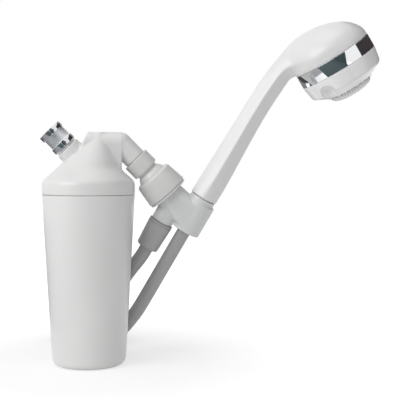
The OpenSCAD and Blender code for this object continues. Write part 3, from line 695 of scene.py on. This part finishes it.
# The fold where the cone leaves the shoulder is softened more than the rest of the cap, on its outside only
def filterCap():
    piece = softened(nodeCopy("cap"), cap["voxel"], cap["passes"])
    fold = piece.vertex_groups.new(name="fold")
    for vertex in piece.data.vertices:
        place, normal = vertex.co, vertex.normal
        height = place.z / mm - cap["fold"]
        radius = math.hypot(place.x, place.y) / mm
        outwards = (normal.x * place.x + normal.y * place.y) / max(radius * mm, mm)
        outside = easeIn((normal.z * cap["upShare"] + outwards) * cap["outsideSharpness"])
        near = easeIn(cap["plateau"] - abs(height) / cap["reach"] * cap["plateau"])
        fold.add([vertex.index], near * outside, "REPLACE")
    modify(piece, "SMOOTH", factor=0.5, iterations=cap["foldPasses"], vertex_group="fold")
    modify(piece, "DECIMATE", ratio=cap["keep"])
    bpy.ops.object.shade_smooth()
    return piece


swivelNut = dict(flatAngle=2, edge=0.35, edgeSteps=3, edgeAngle=40)


def swivelNutPiece():
    piece = nodeCopy("inlet_nut")
    modify(piece, "DECIMATE", decimate_type="DISSOLVE", angle_limit=math.radians(swivelNut["flatAngle"]))
    modify(piece, "BEVEL", width=swivelNut["edge"] * mm, segments=swivelNut["edgeSteps"],
           limit_method="ANGLE", angle_limit=math.radians(swivelNut["edgeAngle"]), use_clamp_overlap=True)
    smoothByAngle(piece)
    return piece


ready(housingShell(), "filter_housing", finishes["housingWhite"], "filter", "housing_white", "housing")
ready(filterCap(), "filter_cap", finishes["housingWhite"], "filter", "housing_white", "cap")
ready(swivelNutPiece(), "swivel_nut", finishes["nutChrome"], "inlet_nut", "chrome", "inlet_nut")
print("filter housing, cap and swivel nut")


# Ball joint: the stem with its ball, the nut over it, and the bracket. Heights are from the ball's centre

ballStem = dict(ball=17.5, start=-31.5, startEdge=0.9, shoulder=-14.8, shoulderEdge=1.3, coupling=15.2,
                neck=12.1, neckRound=0.5, water=5, thread=10.4, threadEdge=0.2, threadEnd=-20.8)
ballNut = dict(radius=24.2, topRadius=21, below=-18.7, belowEdge=0.8, above=5.7, round=3.5, inside=17.8,
               insideGap=0.2, pocket=-4.5, bore=20.7, boreEdge=0.3, boreTop=-6)
bracket = dict(voxel=0.7, passes=5)


def arcPoints(radius, low, high, count=20):
    angles = [low + (high - low) * i / count for i in range(count + 1)]
    return [(radius * math.cos(angle), radius * math.sin(angle), 0) for angle in angles]


def ballStemPiece():
    stem = ballStem
    low = -math.acos(stem["neck"] / stem["ball"])
    high = math.acos(stem["water"] / stem["ball"])
    return turnedPiece([
        (stem["thread"], stem["start"], stem["threadEdge"]),
        (stem["coupling"], stem["start"], stem["startEdge"]),
        (stem["coupling"], stem["shoulder"], stem["shoulderEdge"]),
        (stem["neck"], stem["shoulder"], stem["neckRound"]),
        *arcPoints(stem["ball"], low, high),
        (stem["water"], stem["threadEnd"], 0),
        (stem["thread"], stem["threadEnd"], 0)], outletFrame)


def ballNutPiece():
    nut = ballNut
    high = math.asin(nut["above"] / nut["inside"])
    low = math.asin(nut["pocket"] / nut["inside"])
    return turnedPiece([
        (nut["bore"], nut["below"], nut["boreEdge"]),
        (nut["radius"], nut["below"], nut["belowEdge"]),
        (nut["topRadius"], nut["above"], nut["round"]),
        *arcPoints(nut["inside"], high, low),
        (nut["inside"] + nut["insideGap"], nut["boreTop"], 0),
        (nut["bore"], nut["boreTop"], 0)], ballFrame)


def bracketPiece():
    return softened(nodeCopy("bracket"), bracket["voxel"], bracket["passes"])


ready(ballStemPiece(), "swivel_stem", finishes["nutGray"], "filter", "bracket_gray", "ball_stem")
ready(ballNutPiece(), "swivel_cover", finishes["nutGray"], "ball_nut", "nut_gray", "ball_nut")
ready(bracketPiece(), "cradle_bracket", finishes["bracketGray"], "bracket", "bracket_gray", "bracket")
print("ball joint and bracket")


# Hose nut under the bracket, and the conical nut that sits in the cradle

hoseNut = dict(side=-27, top=-46.4, topEdge=0.6, taper=0.2, foot=-79.4, radius=13.85, footRadius=12.4,
               footRound=2, thread=10.4, threadEnd=-59.6, threadEdge=0.3, bore=8.05, boreEdge=0.4,
               groove=0.75, grooveTop=-47.9, grooveWidth=1.4, grooveSlope=0.3)
coneNut = dict(top=-0.3, topEdge=0.6, foot=-38.3, radius=12.85, footRadius=11.04, footRound=0.9,
               thread=10.36, threadEnd=-13.6, threadEdge=0.3, bore=8.05, boreEdge=0.4)


# Both nuts have the same bore at the foot and thread at the top, and a side of their own
def hoseFitting(nut, side, matrix):
    return turnedPiece([
        (nut["bore"], nut["foot"], nut["boreEdge"]),
        (nut["footRadius"], nut["foot"], nut["footRound"]),
        *side,
        (nut["thread"], nut["top"], nut["threadEdge"]),
        (nut["thread"], nut["threadEnd"], 0),
        (nut["bore"], nut["threadEnd"], 0)], matrix)


def hoseNutPiece():
    nut = hoseNut
    grooveFoot = nut["grooveTop"] - nut["grooveWidth"]
    grooved = nut["radius"] - nut["groove"]
    side = [(nut["radius"], grooveFoot, nut["grooveSlope"]),
            (grooved, grooveFoot + nut["grooveSlope"], 0),
            (grooved, nut["grooveTop"] - nut["grooveSlope"], 0),
            (nut["radius"], nut["grooveTop"], nut["grooveSlope"]),
            (nut["radius"] - nut["taper"], nut["top"], nut["topEdge"])]
    return hoseFitting(nut, side, cupFrame @ Matrix.Translation((nut["side"] * mm, 0, 0)))


def coneNutPiece():
    return hoseFitting(coneNut, [(coneNut["radius"], coneNut["top"], coneNut["topEdge"])], cupFrame)


ready(hoseNutPiece(), "hose_end_nut", finishes["hoseNutGray"], "bracket", "hose_nut_gray", "hose_nut")
ready(coneNutPiece(), "conical_nut", finishes["hoseNutGray"], "hose_end", "hose_nut_gray", "cone_nut")
print("hose nuts")


# Hand shower: a shell lofted through sections. A section is its back point, its front point, half its width,
# how flat its front and back faces are, and the angle of the ridge between them

handset = dict(headAt=(41, 203.3), headAngle=117.8, wall=2.4, sides=36, steps=3, nose=0.2, noseEnd=0.985,
               endSteps=60)


def headPoint(along, forward):
    angle = math.radians(handset["headAngle"])
    return Vector((handset["headAt"][0] - along * math.cos(angle) + forward * math.sin(angle),
                   handset["headAt"][1] + along * math.sin(angle) + forward * math.cos(angle)))


def gripSection(x, z, radius, flat, ridge=94):
    return (Vector((x - radius, z)), Vector((x + radius, z)), radius, flat, flat, ridge)


shellSections = [
    gripSection(0, 0.5, 15.4, 0.3),
    gripSection(0.3, 29.6, 14.95, 0.8),
    gripSection(0.4, 62.2, 13.8, 1),
    gripSection(0.5, 94.7, 12.9, 1),
    gripSection(0.8, 118.4, 12.7, 1),
    gripSection(2.0, 142, 12.7, 1),
    (Vector((-8.6, 162)), Vector((15.9, 157.5)), 13.5, 1, 0.8, 92),
    (headPoint(-40.6, -30.6), headPoint(-47.2, -0.9), 16, 0.9, 0.6, 81),
    (headPoint(-29.4, -33.9), headPoint(-45, -0.8), 22, 0.6, 0.45, 73),
    (headPoint(-15, -35.4), headPoint(-44.2, -0.6), 29, 0.3, 0.25, 72),
    (headPoint(8.4, -32.5), headPoint(-44, -0.45), 37, 0.1, 0.1, 74),
    (headPoint(30.4, -23.2), headPoint(-44, -0.3), 42.2, 0, 0, 70),
    (headPoint(42.2, -9.6), headPoint(-44, -0.15), 43.8, 0, 0, 60),
    (headPoint(44, 0), headPoint(-44, 0), 44, 0, 0, 60),
]


def smoothSections(sections, steps):
    line = []
    for i in range(len(sections) - 1):
        for step in range(steps):
            line.append(tuple(between(values, step / steps) for values in zip(*fourAround(sections, i))))
    return line + [sections[-1]]


# The points of a side go evenly from the front to the ridge and from the ridge to the back
def sectionPoint(number, frontFlat, backFlat, ridge):
    half = handset["sides"] // 2
    side = number if number <= half else 2 * half - number
    middle = half // 2
    edge = math.radians(ridge)
    if side <= middle:
        angle = edge * side / middle
    else:
        angle = edge + (math.pi - edge) * (side - middle) / (half - middle)
    x, y = math.cos(angle), math.sin(angle)
    if 0 < side < middle:
        share, end, flat = (side - 1) / (middle - 1), handset["noseEnd"], frontFlat
    elif middle < side < half:
        share, end, flat = (half - 1 - side) / (middle - 1), -handset["noseEnd"], backFlat
    else:
        share, end, flat = 0, 0, 0
    x += (end + (math.cos(edge) - end) * share - x) * flat
    y += (handset["nose"] + (math.sin(edge) - handset["nose"]) * share - y) * flat
    return x, (y if side == number else -y)


def sectionRing(section, wall):
    back, front, width, frontFlat, backFlat, ridge = section
    middle = (back + front) / 2
    half = (front - back) / 2
    reach = max(half.length - wall, 1) / half.length
    ring = []
    for number in range(handset["sides"]):
        x, y = sectionPoint(number, frontFlat, backFlat, ridge)
        flatPlace = middle + half * reach * x
        place = Vector((flatPlace.x, -max(width - wall, 1) * y, flatPlace.y))
        ring.append(cupFrame @ (place * mm))
    return ring


# A section close to each end keeps its edge from rounding off
def handsetShell():
    sections = smoothSections(shellSections, handset["steps"])
    fine = smoothSections(shellSections, handset["endSteps"])
    outside = [sections[0], fine[1], *sections[1:-1], fine[-3], sections[-1]]
    rings = [sectionRing(section, 0) for section in outside]
    rings += [sectionRing(section, handset["wall"]) for section in outside[::-1]]
    piece = loftedPiece(rings)
    modify(piece, "SUBSURF", levels=1, render_levels=1)
    pick(piece)
    bpy.ops.object.shade_smooth()
    return piece


ready(handsetShell(), "handset_shell", finishes["handsetWhite"], "handset", "handset_white", "handle_shell")
print("hand shower shell")


# Chrome band, spray housing with its thumb recesses, and the ribbed dial. Heights are from the shell's rim

cutterDepth = 40
band = dict(radius=44, low=0.3, high=15, inside=42.8, edge=0.35, insideEdge=0.2)
spray = dict(radius=43.8, low=15.1, lowEdge=0.3, straight=17.2, shoulder=31.8, shoulderRadius=41.4,
             front=39.6, flatRadius=27, round=5, cavity=30.5, cavityEnd=29, slopeStart=32, faceInside=37,
             hub=8.06, hubEdge=0.4, voxel=0.5, passes=2, keep=0.6)
recess = dict(at=40.9, height=30.5, radius=9.4, angle=49, lean=6, ringStep=10, rings=8)
dial = dict(radius=23.6, low=39.9, lowEdge=0.3, lowRound=0.5, side=42.3, top=48.5, flatRadius=5.6, rings=10,
            hub=8, hubEnd=30.2, bore=2.1, screw=4.8, screwDepth=2)
ribs = dict(count=48, points=8, depth=1.5, start=15)
jets = dict(count=8, circle=13, radius=1.4)


def chromeBand():
    return turnedPiece([
        (band["radius"], band["low"], band["edge"]),
        (band["radius"], band["high"], band["edge"]),
        (band["inside"], band["high"], band["insideEdge"]),
        (band["inside"], band["low"], band["insideEdge"])], headFrame, around=144)


# A thumb recess is cut by a cylinder with a round end
def thumbCutter(side):
    deselectAll()
    bpy.ops.mesh.primitive_cylinder_add(vertices=48, radius=recess["radius"] * mm, depth=cutterDepth * mm)
    thumb = bpy.context.object
    selectWhere(thumb, "polygons", lambda face: face.normal.z < -0.9)
    for ring in range(recess["rings"]):
        last = math.radians(recess["ringStep"] * ring)
        turn = math.radians(recess["ringStep"] * (ring + 1))
        down = recess["radius"] * (math.sin(turn) - math.sin(last)) * mm
        bpy.ops.mesh.extrude_region_move(TRANSFORM_OT_translate=dict(value=(0, 0, -down)))
        bpy.ops.transform.resize(value=(math.cos(turn) / math.cos(last),) * 2 + (1,))
    bpy.ops.object.mode_set(mode="OBJECT")
    turned = Matrix.Rotation(side * math.radians(recess["angle"]), 4, "Z")
    place = Matrix.Translation(Vector((recess["at"], 0, recess["height"])) * mm)
    lean = Matrix.Rotation(math.radians(-recess["lean"]), 4, "Y")
    up = Matrix.Translation((0, 0, cutterDepth / 2 * mm))
    placeMesh(thumb, headFrame @ turned @ place @ lean @ up)
    return thumb


def sprayHousing():
    piece = turnedPiece([
        (spray["cavity"], spray["low"], 0),
        (spray["radius"], spray["low"], spray["lowEdge"]),
        (spray["radius"], spray["straight"], 0),
        (spray["shoulderRadius"], spray["shoulder"], spray["round"]),
        (spray["flatRadius"], spray["front"], spray["round"]),
        (spray["hub"], spray["front"], spray["hubEdge"]),
        (spray["hub"], spray["faceInside"], 0),
        (spray["cavityEnd"], spray["faceInside"], 0),
        (spray["cavity"], spray["slopeStart"], 0)], headFrame, around=128)
    for side in (-1, 1):
        cutAway(piece, thumbCutter(side), "EXACT")
    return softened(piece, spray["voxel"], spray["passes"], spray["keep"])


def dialRing(radius, height, depth=0.0):
    ring = []
    count = ribs["count"] * ribs["points"]
    for i in range(count):
        turn = 2 * math.pi * i / count
        away = radius - depth * max(math.cos(ribs["count"] * turn), 0) ** 2
        ring.append(headFrame @ (Vector((away * math.cos(turn), away * math.sin(turn), height)) * mm))
    return ring


def jetCutter(number):
    turn = 2 * math.pi * number / jets["count"]
    place = Vector((jets["circle"] * math.cos(turn), jets["circle"] * math.sin(turn), dial["top"])) * mm
    deselectAll()
    bpy.ops.mesh.primitive_cylinder_add(vertices=24, radius=jets["radius"] * mm, depth=cutterDepth * mm)
    cutter = bpy.context.object
    placeMesh(cutter, headFrame @ Matrix.Translation(place))
    return cutter


def ribbedDial():
    floor = dial["top"] - dial["screwDepth"]
    rings = [dialRing(dial["radius"] - dial["lowEdge"], dial["low"], ribs["depth"] / 2),
             dialRing(dial["radius"], dial["low"] + dial["lowRound"], ribs["depth"]),
             dialRing(dial["radius"], dial["side"], ribs["depth"])]
    for i in range(1, dial["rings"] + 1):
        angle = math.radians(90 * i / dial["rings"])
        radius = dial["flatRadius"] + (dial["radius"] - dial["flatRadius"]) * math.cos(angle)
        height = dial["side"] + (dial["top"] - dial["side"]) * math.sin(angle)
        fade = easeIn((radius - ribs["start"]) / (dial["radius"] - ribs["start"]))
        rings.append(dialRing(radius, height, ribs["depth"] * fade))
    for radius, height in ((dial["screw"], dial["top"]), (dial["screw"], floor), (dial["bore"], floor),
                           (dial["bore"], dial["hubEnd"]), (dial["hub"], dial["hubEnd"]),
                           (dial["hub"], dial["low"])):
        rings.append(dialRing(radius, height))
    piece = loftedPiece(rings)
    for number in range(jets["count"]):
        cutAway(piece, jetCutter(number), "MANIFOLD")
    smoothByAngle(piece, 40)
    return piece


ready(chromeBand(), "head_band", finishes["chrome"], "handset", "chrome", "chrome_band")
# The spray face's lighter tone is painted light on the handset's white plastic
ready(sprayHousing(), "spray_face", finishes["sprayWhite"], "handset", "handset_white", "spray_housing")
ready(ribbedDial(), "ribbed_dial", finishes["dialGray"], "spray_dial", "handset_white", "spray_dial")
print("band, spray housing and dial")


# Inner pieces and small metal parts stay as they are and get a finish
looks = dict(
    insideWhite=["ball_liner", "handle_spigot", "water_tube", "manifold", "cartridge_shell", "cartridge_lid",
                 "inlet_stem", "diverter_disc"],
    sealRubber=["housing_seal", "cartridge_gasket", "inlet_washer", "outlet_washer", "ball_seal",
                "bracket_washer", "handle_washer", "head_seal"],
    nozzleRubber=["nozzle_ring"],
    steel=["inlet_screen", "hose_barb_bracket", "hose_barb_handle", "housing_screws", "detent_spring",
           "detent_ball", "dial_screw"],
    metalGranules=["metal_media"],
    carbonGranules=["carbon_media"],
    felt=["felt_pads"],
)
for look, names in looks.items():
    for name in names:
        nodes[name].data.materials.clear()
        nodes[name].data.materials.append(finishes[look])
print("inner pieces")


# Studio: white floor and world, soft lamps, and cards that only gloss sees

studio = dict(floorSize=12, floorTone=0.9, floorRough=0.9, floorGlow=1.22, fill=0.47)
# The floor's glow fades towards the part, so that shadows show there
floorFade = dict(low=0.12, high=0.42, start=0.5, end=1.0)


def addFloor():
    deselectAll()
    bpy.ops.mesh.primitive_plane_add(size=studio["floorSize"], location=(0, 0, 0))
    floor = bpy.context.object
    floor.name = "floor"
    pale = Finish("paleFloor", Base_Color=tint(studio["floorTone"]), Roughness=studio["floorRough"])
    rays = pale.add("ShaderNodeLightPath")
    seen = pale.wire(rays, "Is Camera Ray").math("MAXIMUM", pale.wire(rays, "Is Glossy Ray"))
    away = pale.vector("LENGTH", {0: pale.place}, "Value")
    glow = pale.add("ShaderNodeEmission", None, {"Strength": studio["floorGlow"]})
    inputs = {0: seen * pale.span(away, **floorFade), 1: pale.wire(pale.surface), 2: pale.wire(glow)}
    pale.show("Material Output", pale.add("ShaderNodeMixShader", None, inputs))
    floor.data.materials.append(pale.material)


# Eyes and gloss see a white world, and everything else is lit by a weaker one
def addWorld():
    world = bpy.data.worlds.new("studio")
    bpy.context.scene.world = world
    world.use_nodes = True
    sky = Nodes(world.node_tree)
    backdrop = world.node_tree.nodes["Background"]
    for key, value in {"Color": tint(1.0), "Strength": 1.0}.items():
        connect(sky.tree, backdrop.inputs[key], value)
    fill = sky.add("ShaderNodeBackground", None, {"Color": tint(1.0), "Strength": studio["fill"]})
    rays = sky.add("ShaderNodeLightPath")
    seen = sky.wire(rays, "Is Camera Ray").math("MAXIMUM", sky.wire(rays, "Is Transmission Ray"))
    seen = seen.math("MAXIMUM", sky.wire(rays, "Is Glossy Ray"))
    inputs = {0: seen, 1: sky.wire(fill), 2: sky.wire(backdrop)}
    sky.show("World Output", sky.add("ShaderNodeMixShader", None, inputs))


lamps = dict(
    key=dict(place=(-1.2, -0.8, 0.9), size=1.1, power=12),
    top=dict(place=(0, -0.1, 1.5), size=0.9, power=2.6),
    back=dict(place=(1.1, 1.5, 0.5), size=1.0, power=4, shines=False),
)

cardTones = dict(dark=(0.06, 0.05, 0.055, 1), teal=(0.08, 0.115, 0.12, 1), slate=(0.30, 0.31, 0.33, 1),
                 gray=(0.42, 0.43, 0.45, 1))
# One card stands beyond the right side, one behind the camera, and four lie on the floor
cards = dict(
    rightCard=dict(place=(1.43, 0.31, 0.94), size=(2.9, 1.6), colour="dark"),
    cameraCard=dict(place=(-0.4, -1.6, 0.45), size=(2.3, 0.9), colour="teal"),
    frontFloorCard=dict(place=(-0.5, -1.3, 0.004), size=(2.4, 2.0), colour="teal", lies=True),
    backFloorCard=dict(place=(-1.05, 1.6, 0.004), size=(1.9, 2.8), colour="dark", lies=True),
    farFloorCard=dict(place=(0.4, 2.6, 0.004), size=(1.0, 4.2), colour="slate", lies=True),
    sideFloorCard=dict(place=(-0.865, -0.05, 0.004), size=(1.47, 0.5), colour="gray", lies=True),
)


def addCard(name, place, size, colour, lies=False):
    deselectAll()
    aim = (0, 0, 0) if lies else (Vector(place) - cadMiddle).to_track_quat("Z", "Y").to_euler()
    bpy.ops.mesh.primitive_plane_add(size=1, location=place, rotation=aim)
    card = bpy.context.object
    card.name = name
    card.scale = (*size, 1)
    bpy.ops.object.transform_apply(scale=True)
    card.data.materials.append(cardFinishes[colour])
    card.visible_camera = card.visible_diffuse = card.visible_transmission = card.visible_shadow = False


def addLamp(name, place, size, power, shines=True):
    deselectAll()
    aim = (cadMiddle - Vector(place)).to_track_quat("-Z", "Y").to_euler()
    bpy.ops.object.light_add(type="AREA", location=place, rotation=aim)
    lamp = bpy.context.object
    lamp.name = name
    lamp.data.size = size
    lamp.data.energy = power
    lamp.visible_glossy = shines


addFloor()
addWorld()
cardFinishes = {colour: Finish(colour + "Card", Base_Color=tone, Roughness=1.0).material
                for colour, tone in cardTones.items()}
for name, values in cards.items():
    addCard(name, **values)
for name, values in lamps.items():
    addLamp(name, **values)
# The lamp behind is for the object alone, because its shadow would cross the floor
lit = bpy.data.collections.new("lit")
for piece in bpy.context.scene.objects:
    if piece.type == "MESH" and piece.name != "floor":
        lit.objects.link(piece)
bpy.data.objects["back"].light_linking.receiver_collection = lit
bpy.context.scene.view_settings.view_transform = "Standard"
print("studio set")
